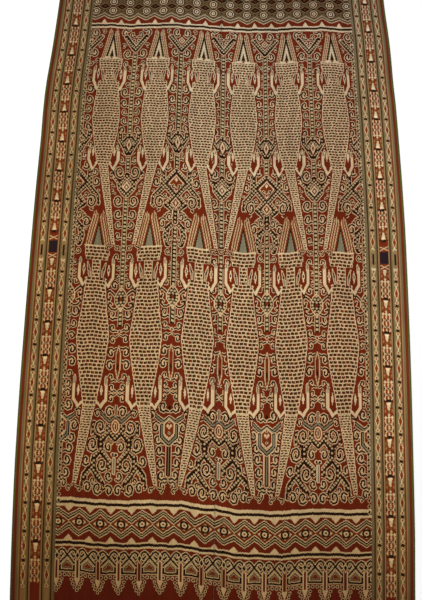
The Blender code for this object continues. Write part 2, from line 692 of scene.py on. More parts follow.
def bricks(plan, box, centre, reach, low, high, row, mortar, length):
    """Courses of rust and brown dashes on cream, laid as bricks are, with thin pale joints."""
    def where(x, y):
        course = np.floor((y - low) / row)
        shift = (course % 2) * 0.5 + 0.21 * np.sin(course * 1.7)
        across = (x - centre(y)) / length + shift
        number = np.floor(across)
        within = (y - low) / row - course
        held = (np.abs(x - centre(y)) < reach(y) - 2.0) & (within > mortar) & (y > low) & (y < high)
        return course, number, across - number, held

    def course_of(x, y):
        return where(x, y)[3]

    def brick(x, y):
        course, number, part, held = where(x, y)
        return held & (part > 2.5 / length)

    def dark(x, y):
        course, number, part, held = where(x, y)
        return held & (part > 2.5 / length) & (part < 0.78 + 0.22 * np.sin(number * 2.1 + course * 1.3))

    plan.fill(box, course_of, PALE)
    plan.fill(box, brick, RUST)
    plan.fill(box, dark, BROWN)


def limbs(plan, axis, joint, start, elbow, reach, drop, rise, tip):
    """A pair of bent limbs: out and down from the body, then up to a long tapering hand."""
    arm = [(start, -3), (elbow, -drop), (reach, 8 - drop * 0.3), (reach, rise)]
    hand = [
        (reach - 4.5, rise - 4),
        (reach + 4.5, rise - 4),
        (reach + 4, tip - 14),
        (reach - 2, tip),
        (reach - 5, tip - 6),
        (reach - 6, tip - 14),
    ]
    palm = [
        (reach - 3, rise + 6),
        (reach + 3.6, rise + 6),
        (reach + 3, tip - 14),
        (reach - 2, tip - 3),
        (reach - 4.6, tip - 13),
    ]
    shadow = [(elbow - 8, -drop - 2), (elbow + 8, -drop - 2), (elbow + 1, -drop - 20)]
    crook = [(elbow - 10, -drop + 16), (elbow + 4, -drop + 16), (elbow - 2, -drop + 2)]
    point = [(elbow - 9, -drop + 3), (elbow + 8, -drop + 3), (elbow + 1, -drop - 11)]
    for side in (-1, 1):
        def put(points, side=side):
            return mirrored(points, axis, joint, side)

        plan.line(put(arm), 17, RED)
        plan.line(put([hand[2], hand[0]]), 17, RED)
        plan.shape(put(shadow), BLACK)
        plan.shape(put(hand), CREAM)
        plan.shape(put(palm), GREY)
        plan.line(put([(reach, rise + 6), (reach + 1, tip - 10)]), 2.2, PALE)
        plan.line(put(arm), 8.4, CREAM)
        plan.shape(put(crook), CRIMSON)
        plan.shape(put(point), CREAM)


def leaves(plan, axis, shoulder, hip):
    """Seed shapes inside the bent limbs, and leaves with dark tips beside the neck."""
    for side in (-1, 1):
        plan.lozenge(axis + side * 38, shoulder + 26, 4.6, 22, CREAM)
        plan.lozenge(axis + side * 38, shoulder + 27, 2.2, 9, BLACK)
        leaf = mirrored([(18, 2), (19, 24), (28, 50), (26, 28), (21, 2)], axis, shoulder, side)
        plan.line(leaf + leaf[:1], 4.2, STRAW)
        plan.shape(leaf, GREY)
        plan.shape(mirrored([(19, 22), (28, 50), (25, 24)], axis, shoulder, side), BLACK)
        plan.lozenge(axis + side * 34, hip + 38, 4.0, 19, CREAM)


def jaws(plan, axis, tip, base, upper):
    """Two long striped jaws with nested triangles between them."""
    height = tip - base

    def shares(x, y):
        up = np.clip((y - base) / height, 0, 1)
        outer = 38 - 22 * up if upper else 40 - 23 * up**1.5
        inner = np.maximum(22 * (1 - up * 1.14), 1.8 + 16 * (up - 0.74))
        off = np.abs(x - axis)
        point = tip - 1.6 * np.abs(off - (outer + inner) / 2)
        held = (off < outer) & (off > inner) & (y >= base) & (y <= point)
        return held, (off - inner) / np.maximum(outer - inner, 1)

    def stripes(x, y):
        held, share = shares(x, y)
        return held & (share > 0.08) & ((share * 2.9) % 1.0 > (0.54 if upper else 0.46))

    box = (axis - 48, axis + 48, base - 2, tip + 4)
    plan.fill(box, lambda x, y: (np.abs(x - axis) < 43 - 23 * (y - base) / height) & (y > base), RED)
    plan.fill(box, lambda x, y: shares(x, y)[0], PALE)
    plan.fill(box, stripes, RUST)
    plan.line([(axis - 39, base + 1), (axis + 39, base + 1)], 3.6, CREAM)

    def triangle(half, top, dye, low=base + 2):
        plan.shape([(axis - half, low), (axis + half, low), (axis, top)], dye)

    triangle(21, tip - 12, BLACK if upper else RUST)
    triangle(16.5, tip - 38, OLIVE if upper else BLACK)
    if upper:
        triangle(13.5, tip - 44, CREAM)
        triangle(9, base + 40, OLIVE)
        triangle(7.5, base + 34, BLACK)
        plan.line([(axis - 19, base + 4), (axis + 19, base + 4)], 8, CREAM)
        triangle(4.5, base + 14, RUST)
    else:
        triangle(12.5, tip - 50, GREY)


# Cross bands near the ends

# How far apart the motifs of a band lie on the left and the right panel
LEFT_PITCH = 60.2
RIGHT_PITCH = 59.0


def from_motif(x, first, left=LEFT_PITCH, right=RIGHT_PITCH):
    """How far across each place lies from its nearest motif; the first lies beside the seam."""
    pitch = np.where(x < 0, left, right)
    return np.abs((np.abs(x) - first + pitch / 2) % pitch - pitch / 2)


def cross_line(plan, place, above, below, teeth, half=13.0, pitches=(LEFT_PITCH, RIGHT_PITCH)):
    """A cream, black and cream line right across, with cream teeth on one side."""
    def cream(x, y):
        tooth = np.maximum(0.0, 1 - from_motif(x, -3.0, *pitches) / half) ** 0.85 * abs(teeth)
        low = below + (tooth if teeth < 0 else 0)
        high = above + (tooth if teeth > 0 else 0)
        return (y < place + high) & (y > place - low)

    plan.fill((-HALF_WIDTH, HALF_WIDTH, place - 34, place + 34), cream, CREAM)
    plan.fill((-HALF_WIDTH, HALF_WIDTH, place - 6, place + 6), lambda x, y: np.abs(y - place) < 4.1, BLACK)


def lozenge_band(plan, middle):
    """A row of nested diamonds in a dark band with zigzag edges, round ringed eyes inside."""
    box = (-HALF_WIDTH, HALF_WIDTH, middle - 42, middle + 42)
    for reach, slope, dye in (
        (39.5, 0.66, CREAM),
        (36.8, 0.66, BLACK),
        (32.6, 0.68, PALE),
        (30.0, 0.70, BLACK),
        (25.8, 0.74, CREAM),
        (22.8, 0.74, RUST),
        (14.6, 0.72, CREAM),
    ):
        def inside(x, y, reach=reach, slope=slope):
            return from_motif(x, 27.0) * slope + np.abs(y - middle) < reach

        plan.fill(box, inside, dye)
    for radius, dye in ((12.0, BLACK), (6.8, CREAM), (3.0, RUST)):
        def inside(x, y, radius=radius):
            return np.hypot(from_motif(x, 27.0) * 0.92, y - middle) < radius

        plan.fill(box, inside, dye)


def eyed_lattice(plan, low, high):
    """The upper band: rows of ringed eyes in dark diamonds, with a scalloped lower edge."""
    pitch = 59.2

    def scallop(x):
        return low + 15 * np.maximum(1 - from_motif(x, 0.0, pitch, pitch) / (pitch / 2), 0) ** 1.2

    def place(x, y, shift):
        up = np.abs((y - low - 36 - shift * 17.5 + 17.5) % 35.0 - 17.5)
        return from_motif(x, pitch / 2 * (1 - shift), pitch, pitch), up

    def diamond(x, y, shift):
        off, up = place(x, y, shift)
        return off / (pitch / 2) + up / 17.5

    box = (-HALF_WIDTH, HALF_WIDTH, low - 4, high + 4)

    def put(inside, dye):
        plan.fill(box, lambda x, y: inside(x, y) & (y > scallop(x)) & (y < high), dye)

    put(lambda x, y: y < high, OLIVE)
    for shift, limit, dye in (
        (0, 1.10, BLACK),
        (0, 0.94, TAN),
        (0, 0.80, BROWN),
        (1, 0.80, TAN),
        (1, 0.64, BLACK),
        (1, 0.20, RUST),
    ):
        put(lambda x, y, shift=shift, limit=limit: diamond(x, y, shift) < limit, dye)
    for radius, dye in ((16.4, BROWN), (13.4, STRAW), (10.8, BLACK), (6.6, CREAM), (2.6, BLACK)):
        put(lambda x, y, radius=radius: np.hypot(*place(x, y, 0)) < radius, dye)
    for start, end, dye in (
        (0, 2.6, STRAW),
        (2.6, 7.2, OLIVE),
        (7.2, 10.0, BLACK),
        (10.0, 12.4, STRAW),
        (12.4, 16.6, OLIVE),
    ):
        put(lambda x, y, start=start, end=end: (y > scallop(x) + start) & (y < scallop(x) + end), dye)


def pot_row(plan, top):
    """The row of pot-shaped motifs with stems and finials between them."""
    stems = [-36 - 59.0 * k for k in range(9)][::-1] + [28 + 58.5 * k for k in range(9)]
    for left, right in zip(stems, stems[1:]):
        pot(plan, (left + right) / 2, top)
    for place in stems:
        finial(plan, place, top)


def pot(plan, cx, top):
    """Two curls that cross over a red triangle, on dark and cream lines."""
    for half, base, shoulder, apex, dye in (
        (24.5, -60, -36, -13, CREAM),
        (22.4, -57.8, -37.4, -16.5, BLACK),
        (17.2, -52.6, -39.8, -23.0, STRAW),
        (15.0, -50.4, -41, -26, OLIVE),
        (11.0, -46.4, -43.4, -31.5, CREAM),
    ):
        roof = [(-half, base), (-half, shoulder), (0, apex), (half, shoulder), (half, base)]
        plan.shape(mirrored(roof, cx, top, 1), dye)
    plan.shape([(cx - 13, top - 46), (cx + 13, top - 46), (cx, top - 33)], RUST)
    rope = [(-21, -36), (0, -15), (9, -3), (16, 1), (24, -4), (25, -14), (18, -19), (12, -12)]
    for side in (-1, 1):
        plan.lozenge(cx + side * 17, top - 9, 9, 12, RUST)
    for width, dye in ((9.6, CREAM), (5.2, BLACK)):
        plan.lines(rope, cx, top, width, dye)
    for across in (-19.5, -6.5, 6.5, 19.5):
        dot(plan, cx + across, top - 67, 3.4)


def finial(plan, cx, top):
    """A double stem from a dark-hearted diamond down to a bunch of ringed dots."""
    plan.line([(cx, top - 30), (cx, top - 76)], 15.0, RED)
    plan.lines([(5, -26), (5, -82)], cx, top, 3.4, CREAM)
    plan.nested(cx, top - 16, ((8, 13, CREAM), (5.0, 8.6, BLACK)))
    plan.shape([(cx - 9, top - 75), (cx + 9, top - 75), (cx, top - 99)], CREAM)
    for across, along in ((15.5, -79), (12, -89.5), (7, -99)):
        dot(plan, cx - across, top + along, 3.2)
        dot(plan, cx + across, top + along, 3.2)
    dot(plan, cx, top - 107.5, 3.2)


# Side borders

# The plain and ikat stripes from the outer selvedge inwards: how far each reaches from the selvedge
STRIPES = (
    # from, to, dye
    (0, 6.0, GREEN),
    (6.0, 14.0, CRIMSON),
    (14.0, 19.0, OLIVE),
    (19.0, 24.0, TAN),
    (24.0, 28.0, CRIMSON),
    (28.0, 44.0, TAN),
    (44.0, 47.0, OLIVE),
    (47.0, 51.0, BROWN),
    (51.0, 56.0, TAN),
    (56.0, 83.0, RED),
    (83.0, 87.0, TAN),
    (87.0, 91.0, BROWN),
    (91.0, 96.0, OLIVE),
    (96.0, 111.0, TAN),
    (111.0, 114.0, OLIVE),
    (114.0, 118.0, BROWN),
    (118.0, BORDER, OLIVE),
)
NARROW_IKAT = (35.5, 103.0)
MAIN_IKAT = 69.0

# Where each repeat of the main border stripe starts, away from the middle
CAPS_UP = (49, 151, 256, 359, 466, 569, 678, 791, 900, 1010)
CAPS_DOWN = (36, 137, 242, 345, 448, 554, 663, 773, 880, 990)

# The narrow stripes' repeats: where the first one lies, how far apart they are and how many there are
NARROW_FIRST = 44.0
NARROW_PITCH = 77.0
NARROW_COUNT = 13

# Past these places along the cloth the borders' ikat stops
LAST_MOTIFS = (-1003.0, 1010.0)


def side_borders(plan):
    """The stripes beside the field, with their three rows of ikat."""
    for start, end, dye in STRIPES:
        plan.stripe(HALF_WIDTH - end, HALF_WIDTH - start, dye)
    for side in (-1, 1):
        for way, caps in ((1, CAPS_UP), (-1, CAPS_DOWN)):
            for start, after in zip(caps, caps[1:]):
                spear(plan, side * (HALF_WIDTH - MAIN_IKAT), way * start, way, after - start)
            for inset in NARROW_IKAT:
                for number in range(NARROW_COUNT):
                    along = way * (NARROW_FIRST + number * NARROW_PITCH)
                    seeds(plan, side * (HALF_WIDTH - inset), along)
        middle_marks(plan, side)
        dotted_edge(plan, side)


def spear(plan, cx, start, way, length):
    """One repeat of the main border stripe: a black cap, a cream spear and crossed red lozenges."""
    def put(u, v):
        return cx + u, start + way * v * length / 104

    low, high = sorted((start, start + way * length))

    def repeat(x, y):
        return (np.abs(x - cx) < 13) & (y > low) & (y < high)

    plan.fill((cx - 13, cx + 13, low, high), repeat, RUST)
    for along in (48, 57, 67, 77, 87, 97):
        for across in (-9.5, 0, 9.5):
            plan.lozenge(*put(across, along), 4.6, 5.6, PALE)
    for along in (57, 77, 96):
        for across in (-5.6, 5.6):
            plan.lozenge(*put(across, along), 4.2, 6.6, RUST)
    for along in (67, 87):
        for across in (-11.5, 0, 11.5):
            plan.lozenge(*put(across, along), 3.0, 3.8, BLACK)
    for side in (-1, 1):
        plan.lozenge(*put(side * 11, 16), 2.6, 6.5, OLIVE)
        plan.lozenge(*put(side * 10, 29), 2.4, 5.5, TAN)
        plan.lozenge(*put(side * 12, 41), 2.6, 3.8, BLACK)
        plan.lozenge(*put(side * 12, 2), 2.8, 3.4, BLACK)
    plan.shape([put(-7, 5), put(7, 5), put(2.4, 28), put(-2.4, 28)], PALE)
    plan.shape([put(-6, 4), put(6, 4), put(3, 13), put(-3, 13)], CREAM)
    plan.lozenge(*put(0, 34), 3.2, 4.4, OLIVE)
    plan.lozenge(*put(0, 41), 3.6, 5.0, PALE)
    plan.shape([put(-9, 5), put(9, 5), put(6, -4.5), put(-6, -4.5)], BLACK)


def seeds(plan, cx, middle):
    """One repeat of a narrow stripe: a long red seed in cream, then a dark cross between rings."""
    half = NARROW_PITCH / 2
    plan.line([(cx, middle - half), (cx, middle + half)], 3.0, PALE)
    plan.lozenge(cx, middle, 7.2, 21, PALE)
    plan.lozenge(cx, middle, 5.0, 16, RUST)
    for way in (-1, 1):
        plan.lozenge(cx, middle + way * 28.5, 6.2, 7.4, PALE)
        plan.lozenge(cx, middle + way * 28.5, 3.2, 4.2, RUST)
        plan.lozenge(cx, middle + way * half, 7.2, 5.6, BLACK)
        for side in (-1, 1):
            plan.lozenge(cx + side * 5.5, middle + way * 20, 2.0, 6.0, OLIVE)


def middle_marks(plan, side):
    """The dark blocks that mark the middle of the cloth's length."""
    cx = side * (HALF_WIDTH - MAIN_IKAT)
    middle = -1.0 if side < 0 else -6.0
    block = [(-12.5, -19.5), (12.5, -19.5), (12.5, 19.5), (-12.5, 19.5)]
    plan.shape([(cx + u, middle + v * 2) for u, v in block], RUST)
    for way in (-1, 1):
        plan.line([(cx - 12, middle + way * 36), (cx + 12, middle + way * 24)], 2.6, PALE)
        plan.line([(cx + 12, middle + way * 36), (cx - 12, middle + way * 24)], 2.6, PALE)
    plan.shape([(cx + u, middle + v) for u, v in block], INDIGO)
    for inset in NARROW_IKAT:
        nx = side * (HALF_WIDTH - inset)
        plan.line([(nx, -44), (nx, 20)], 11, PALE)
        plan.line([(nx, -36), (nx, 14)], 11, TAN)
        plan.line([(nx, -27), (nx, 3)], 6.4, INDIGO)


def dotted_edge(plan, side):
    """The column of dark dots just inside each border."""
    cx = side * (HALF_WIDTH - BORDER - 5.0)
    for number in range(-47, 49):
        plan.lozenge(cx, number * 16.3, 6.4, 7.8, PALE)
        plan.lozenge(cx, number * 16.3, 4.2, 5.6, BLACK)


def plan_of_the_cloth(bundles, tick):
    """Ties and dyes the whole pattern, from the ground up."""
    plan = DyePlan(bundles, tick)
    axes = [row[0] for row in CROCODILES]
    gaps = [(a + b) / 2 for a, b in zip(axes, axes[1:])]
    for place in gaps[0::2]:
        wide_fill(plan, place)
    for place in gaps[1::2]:
        narrow_fill(plan, place)
    for side in (-1, 1):
        narrow_fill(plan, side * (HALF_WIDTH - BORDER - 1))
    for axis, upper_tip, lower_tip in CROCODILES:
        crocodile(plan, axis, lower_tip, False)
        crocodile(plan, axis, upper_tip, True)
    end_bands(plan)
    side_borders(plan)
    plain_ends(plan)
    return plan


def end_bands(plan):
    """The cross bands at both ends of the field."""
    wide = (-HALF_WIDTH, HALF_WIDTH)
    plan.fill((*wide, UPPER_LINE - 14, HALF_LENGTH + PAST_ENDS), lambda x, y: y > UPPER_LINE - 13, RED)
    eyed_lattice(plan, UPPER_LINE + 21, UPPER_LINE + 160)
    cross_line(plan, UPPER_LINE, 9, 10.5, 16, 9.0, (59.2, 59.2))
    cross_line(plan, UPPER_LINE + 172, 11, 9, -2, 9.0, (59.2, 59.2))
    plan.fill((*wide, -HALF_LENGTH - PAST_ENDS, LOWER_LINE + 14), lambda x, y: y < LOWER_LINE + 12, RED)
    lozenge_band(plan, (LOWER_LINE + SECOND_LINE) / 2 + 2)
    cross_line(plan, LOWER_LINE, 13, 11, -15)
    cross_line(plan, SECOND_LINE, 8, 9.5, 14)
    pot_row(plan, SECOND_LINE - 18)


def plain_ends(plan):
    """The ends of the border stripes past the last motif are left plain."""
    low, high = LAST_MOTIFS
    for inset, half, dye in ((MAIN_IKAT, 13, RED), (NARROW_IKAT[0], 8, TAN), (NARROW_IKAT[1], 8, TAN)):
        middle = HALF_WIDTH - inset
        plan.stripe(middle - half, middle + half, dye, high=low)
        plan.stripe(middle - half, middle + half, dye, low=high)


# Panels

# The outline, as in the solids: a place along as a share of half the length, and how far each
# outer edge lies from the seam there, as a share of half the width
OUTLINE = (
    # along, left edge, right edge
    (-1.00, 0.9430, 0.9400),
    (-0.86, 0.9620, 0.9520),
    (-0.70, 0.9790, 0.9680),
    (-0.54, 0.9910, 0.9785),
    (-0.30, 0.9985, 0.9915),
    (0.00, 1.0000, 1.0000),
    (0.16, 0.9985, 0.9990),
    (0.32, 0.9930, 0.9925),
    (0.44, 0.9915, 0.9855),
    (0.50, 0.9850, 0.9790),
    (0.62, 0.9660, 0.9700),
    (0.77, 0.9480, 0.9480),
    (1.00, 0.9300, 0.9300),
)

# The soft ridges, in metres, as in the solids
RIDGES = (
    # across, along, reach across, reach along, height, turn
    (-0.330, 0.452, 0.420, 0.060, 0.0032, 2.0),
    (0.260, 0.436, 0.330, 0.055, 0.0022, -3.0),
    (-0.480, 0.610, 0.130, 0.050, 0.0030, 10.0),
    (0.440, 0.790, 0.160, 0.070, 0.0026, -8.0),
    (0.420, 0.070, 0.200, 0.080, 0.0020, 14.0),
    (-0.410, -0.120, 0.190, 0.090, 0.0024, -12.0),
    (0.180, -0.455, 0.340, 0.060, 0.0022, 4.0),
    (-0.470, -0.640, 0.130, 0.060, 0.0026, 8.0),
    (0.470, -0.830, 0.120, 0.070, 0.0028, -9.0),
    (-0.150, 0.960, 0.320, 0.060, 0.0024, 3.0),
)

# Finer creases that only the dressed cloth has: low troughs and ridges
CREASES = (
    # across, along, reach across, reach along, height, turn
    (-0.300, 0.440, 0.300, 0.014, 0.0012, 1.5),
    (0.300, 0.424, 0.260, 0.012, 0.0009, -2.0),
    (-0.520, 0.590, 0.080, 0.014, 0.0014, 14.0),
    (0.000, -0.020, 0.420, 0.016, 0.0007, 0.6),
    (0.120, 0.210, 0.300, 0.018, 0.0007, -1.2),
    (-0.180, -0.300, 0.320, 0.016, 0.0008, 1.4),
    (0.260, -0.640, 0.240, 0.018, 0.0008, -1.0),
    (-0.300, -0.930, 0.220, 0.020, 0.0010, 2.0),
    (0.330, -0.960, 0.200, 0.018, 0.0009, -3.0),
    (0.100, 0.700, 0.240, 0.016, 0.0007, 2.0),
)


def smooth_table(rows, at, column):
    """Reads a table's column at many places, with a smooth curve through its rows."""
    table = np.array(rows)
    places, values = table[:, 0], table[:, column]
    slopes = np.empty(len(places))
    slopes[1:-1] = (values[2:] - values[:-2]) / (places[2:] - places[:-2])
    slopes[0] = (values[1] - values[0]) / (places[1] - places[0])
    slopes[-1] = (values[-1] - values[-2]) / (places[-1] - places[-2])
    index = np.clip(np.searchsorted(places, at) - 1, 0, len(places) - 2)
    span = places[index + 1] - places[index]
    t = np.clip((at - places[index]) / span, 0, 1)
    return (
        (2 * t**3 - 3 * t**2 + 1) * values[index]
        + (t**3 - 2 * t**2 + t) * span * slopes[index]
        + (3 * t**2 - 2 * t**3) * values[index + 1]
        + (t**3 - t**2) * span * slopes[index + 1]
    )


def lift(x, y, tables=(RIDGES, CREASES)):
    """How high the underside is over the surface, at places in metres."""
    height = np.zeros(np.shape(x))
    for row in [row for table in tables for row in table]:
        middle_x, middle_y, reach_x, reach_y, top, turn = row
        angle = math.radians(turn)
        dx, dy = x - middle_x, y - middle_y
        u = np.clip((dx * math.cos(angle) + dy * math.sin(angle)) / reach_x, -1, 1)
        v = np.clip((dy * math.cos(angle) - dx * math.sin(angle)) / reach_y, -1, 1)
        height = height + top * np.cos(u * math.pi / 2) ** 2 * np.cos(v * math.pi / 2) ** 2
    return height


def on_cloth(p, q):
    """A place in the plan, in metres, as it lies on the cloth: x, y and the underside's height."""
    half = HALF_WIDTH * MM
    left = smooth_table(OUTLINE, q / (HALF_LENGTH * MM), 1)
    right = smooth_table(OUTLINE, q / (HALF_LENGTH * MM), 2)
    edge = half * np.where(p < 0, left, right)
    side = np.where(p < 0, -1.0, 1.0)
    x = side * (SEAM_GAP / 2 + (edge - SEAM_GAP / 2) * np.abs(p) / half)
    return x, q, lift(x, q)


# Stored where a bundle turns no more in its cell: a height in millimetres that no place reaches
NO_TURN = 99.0

# A place along, in millimetres, that lies past every cell
NOWHERE = 1e6


def dye_turns(plan, columns, rows, bundles, turns, bleed):
    """For each cell of a panel and each bundle in it: the dyes it meets, as one number in base
    DYES, and the heights over the cell's lower edge, in millimetres, where one dye turns to the next."""
    height = 2 * HALF_LENGTH / rows
    lows = -HALF_LENGTH + np.arange(rows) * height - bleed
    codes = np.zeros((rows, len(columns), bundles))
    places = np.full((turns, rows, len(columns), bundles), NO_TURN)
    for c, first in enumerate(columns):
        for b in range(bundles):
            dyes = plan.dye[first + b].astype(int)
            change = np.flatnonzero(np.diff(dyes)) + 1
            at = np.append(change * plan.tick - HALF_LENGTH, [NOWHERE] * (turns + 1))
            after = np.append(dyes[change], [0] * (turns + 1))
            start = np.searchsorted(at, lows)
            here = np.clip(((lows + HALF_LENGTH) / plan.tick).astype(int), 0, len(dyes) - 1)
            code = dyes[here].astype(float)
            for n in range(turns):
                place, dye = at[start + n], after[start + n]
                held = place < lows + height + 2 * bleed
                places[n, :, c, b] = np.where(held, place - lows - bleed, NO_TURN)
                code += np.where(held, dye, 0) * DYES ** (n + 1)
            codes[:, c, b] = code
    return codes, places


def grid_panel(name, side, sizes):
    """A fine grid laid on one panel's place, before it gets its thickness."""
    bpy.ops.object.select_all(action="DESELECT")
    bpy.ops.mesh.primitive_grid_add(
        x_subdivisions=sizes.cells_across, y_subdivisions=sizes.cells_along, size=2.0
    )
    panel = bpy.context.active_object
    panel.name = name
    mesh = panel.data
    mesh.name = name
    points = np.empty(len(mesh.vertices) * 3)
    mesh.vertices.foreach_get("co", points)
    points = points.reshape(-1, 3)
    u, v = (points[:, 0] + 1) / 2, (points[:, 1] + 1) / 2
    p = (u if side > 0 else u - 1) * HALF_WIDTH * MM
    p = np.where(np.abs(p) < 1e-7, side * 1e-7, p)
    q = (v * 2 - 1) * HALF_LENGTH * MM
    x, y, z = on_cloth(p, q)
    mesh.vertices.foreach_set("co", np.stack([x, y, z], 1).ravel())
    corners = np.empty(len(mesh.loops), dtype=np.int32)
    mesh.loops.foreach_get("vertex_index", corners)
    lay_out_cells(mesh, p[corners], q[corners], sizes)
    return panel, p, q


def lay_out_cells(mesh, p, q, sizes):
    """Two UV maps: each corner's place on the cloth in metres, and its corner of its own cell."""
    while mesh.uv_layers:
        mesh.uv_layers.remove(mesh.uv_layers[0])
    place = mesh.uv_layers.new(name="cloth")
    place.uv.foreach_set("vector", np.stack([p, q], 1).ravel())
    cell = mesh.uv_layers.new(name="cell")
    low_p = p.reshape(-1, 4).min(1, keepdims=True)
    low_q = q.reshape(-1, 4).min(1, keepdims=True)
    width = HALF_WIDTH * MM / sizes.cells_across
    height = 2 * HALF_LENGTH * MM / sizes.cells_along
    corner_u = np.round((p.reshape(-1, 4) - low_p) / width)
    corner_v = np.round((q.reshape(-1, 4) - low_q) / height)
    cell.uv.foreach_set("vector", np.stack([corner_u.ravel(), corner_v.ravel()], 1).ravel())


def store_turns(mesh, plan, side, p, q, sizes):
    """Stores the dyes and their turns on the panel's faces."""
    bundles, turns = sizes.bundles_a_cell, sizes.turns_a_cell
    first = 0 if side < 0 else sizes.cells_across * bundles
    columns = [first + c * bundles for c in range(sizes.cells_across)]
    codes, places = dye_turns(plan, columns, sizes.cells_along, bundles, turns, sizes.bleed / MM)
    starts = np.empty(len(mesh.polygons), dtype=np.int32)
    mesh.polygons.foreach_get("loop_start", starts)
    corners = np.empty(len(mesh.loops), dtype=np.int32)
    mesh.loops.foreach_get("vertex_index", corners)
    around = corners[starts[:, None] + np.arange(4)]
    low_p, low_q = p[around].min(1), q[around].min(1)
    base = -HALF_WIDTH * MM if side < 0 else 0.0
    column = np.round((low_p - base) / (HALF_WIDTH * MM / sizes.cells_across)).astype(int)
    row = np.round((low_q + HALF_LENGTH * MM) / (2 * HALF_LENGTH * MM / sizes.cells_along)).astype(int)
    column = np.clip(column, 0, sizes.cells_across - 1)
    row = np.clip(row, 0, sizes.cells_along - 1)
    dyes = mesh.attributes.new("dyes", "FLOAT_VECTOR", "FACE")
    dyes.data.foreach_set("vector", codes[row, column].ravel())
    for n in range(turns):
        turn = mesh.attributes.new("turn_%d" % (n + 1), "FLOAT_VECTOR", "FACE")
        turn.data.foreach_set("vector", places[n][row, column].ravel())


def give_thickness(panel, q, sizes):
    """Thickens the grid upwards, twice as much in the turned hems, and applies it."""
    in_hem = np.abs(q) > HALF_LENGTH * MM - sizes.hem_width - 1e-4
    body = panel.vertex_groups.new(name="thickness")
    body.add(np.flatnonzero(~in_hem).tolist(), sizes.thickness / sizes.hem_thickness, "REPLACE")
    body.add(np.flatnonzero(in_hem).tolist(), 1.0, "REPLACE")
    shell = panel.modifiers.new("Thickness", "SOLIDIFY")
    shell.thickness = sizes.hem_thickness
    shell.offset = 1.0
    shell.vertex_group = body.name
    bpy.context.view_layer.objects.active = panel
    bpy.ops.object.modifier_apply(modifier=shell.name)
    panel.data.shade_smooth()


# Materials

def linear(colour):
    """A colour typed as an sRGB hex value such as "8a3a1c", in the linear values that shaders take."""
    values = [int(colour[k : k + 2], 16) / 255 for k in (0, 2, 4)]
    return [v / 12.92 if v <= 0.04045 else ((v + 0.055) / 1.055) ** 2.4 for v in values] + [1.0]


def add_node(tree, kind, inputs=(), output=0, **settings):
    """Adds a node, gives its inputs values or links, and returns one of its outputs."""
    node = tree.nodes.new("ShaderNode" + kind)
    for name, value in settings.items():
        setattr(node, name, value)
    for key, value in dict(inputs).items():
        if isinstance(value, bpy.types.NodeSocket):
            tree.links.new(value, node.inputs[key])
        else:
            node.inputs[key].default_value = value
    return node.outputs[output]


def new_material(name):
    """A material with only its output and shader."""
    material = bpy.data.materials.new(name)
    material.use_nodes = True
    return material, material.node_tree, material.node_tree.nodes["Principled BSDF"]


# How the cloth darkens and greys towards its ends, by a place along it as a share of its length
TINT_ALONG = (
    # place, tint
    (0.00, (0.42, 0.40, 0.36, 1.0)),
    (0.08, (0.52, 0.44, 0.33, 1.0)),
    (0.15, (0.70, 0.64, 0.52, 1.0)),
    (0.22, (0.92, 0.90, 0.84, 1.0)),
    (0.34, (1.04, 1.02, 0.98, 1.0)),
    (0.50, (1.00, 1.00, 1.00, 1.0)),
    (0.75, (0.88, 0.91, 0.98, 1.0)),
    (0.84, (0.84, 0.90, 1.06, 1.0)),
    (0.88, (0.70, 0.75, 0.90, 1.0)),
    (1.00, (0.62, 0.62, 0.66, 1.0)),
)

# How the colour is tinted across, by a place across as a share of its width: the right border is the palest
TINT_ACROSS = (
    # place, tint
    (0.00, (0.96, 0.95, 0.90, 1.0)),
    (0.107, (0.96, 0.95, 0.90, 1.0)),
    (0.111, (0.76, 0.70, 0.65, 1.0)),
    (0.24, (0.86, 0.82, 0.79, 1.0)),
    (0.42, (1.03, 1.04, 1.08, 1.0)),
    (0.58, (1.01, 1.02, 1.08, 1.0)),
    (0.78, (0.93, 0.90, 0.94, 1.0)),
    (0.889, (0.90, 0.86, 0.90, 1.0)),
    (0.893, (1.31, 1.42, 1.62, 1.0)),
    (1.00, (1.31, 1.42, 1.62, 1.0)),
)


def dyed_cotton(sizes, colours):
    """Handspun cotton, warp-faced plain weave, resist-dyed: matt, with fine upright yarns, edges
    that bleed from yarn to yarn and tones that vary along each thread."""
    material, tree, shader = new_material("Warp-ikat handspun cotton")
    place = add_node(tree, "SeparateXYZ", {0: add_node(tree, "UVMap", uv_map="cloth")})
    across, along = place, place.node.outputs[1]
    weave = weave_height(tree, across, along, sizes)
    # Tinted by place: darker and greyer towards both ends, and lighter or darker across, palest on the
    # right border
    colour = tint_along_and_across(tree, yarn_dye(tree, across, along, sizes, colours), across, along)
    # Painted shade: the tone darkens the weave's low places between the yarns, besides the yarns' uneven
    # dye
    tone = tone_and_gap_shade(tree, across, along, weave)
    tone = add_node(tree, "CombineXYZ", {0: tone, 1: tone, 2: tone})
    colour = add_node(tree, "VectorMath", {0: colour, 1: tone}, operation="MULTIPLY")
    tree.links.new(colour, shader.inputs["Base Color"])
    bump = add_node(
        tree, "Bump", {"Height": weave, "Strength": 0.5, "Distance": sizes.yarn_spacing * 0.4}
    )
    tree.links.new(bump, shader.inputs["Normal"])
    shader.inputs["Roughness"].default_value = 0.88
    shader.inputs["Specular IOR Level"].default_value = 0.04
    shader.inputs["Sheen Weight"].default_value = 0.01
    shader.inputs["Sheen Roughness"].default_value = 0.6
    return material


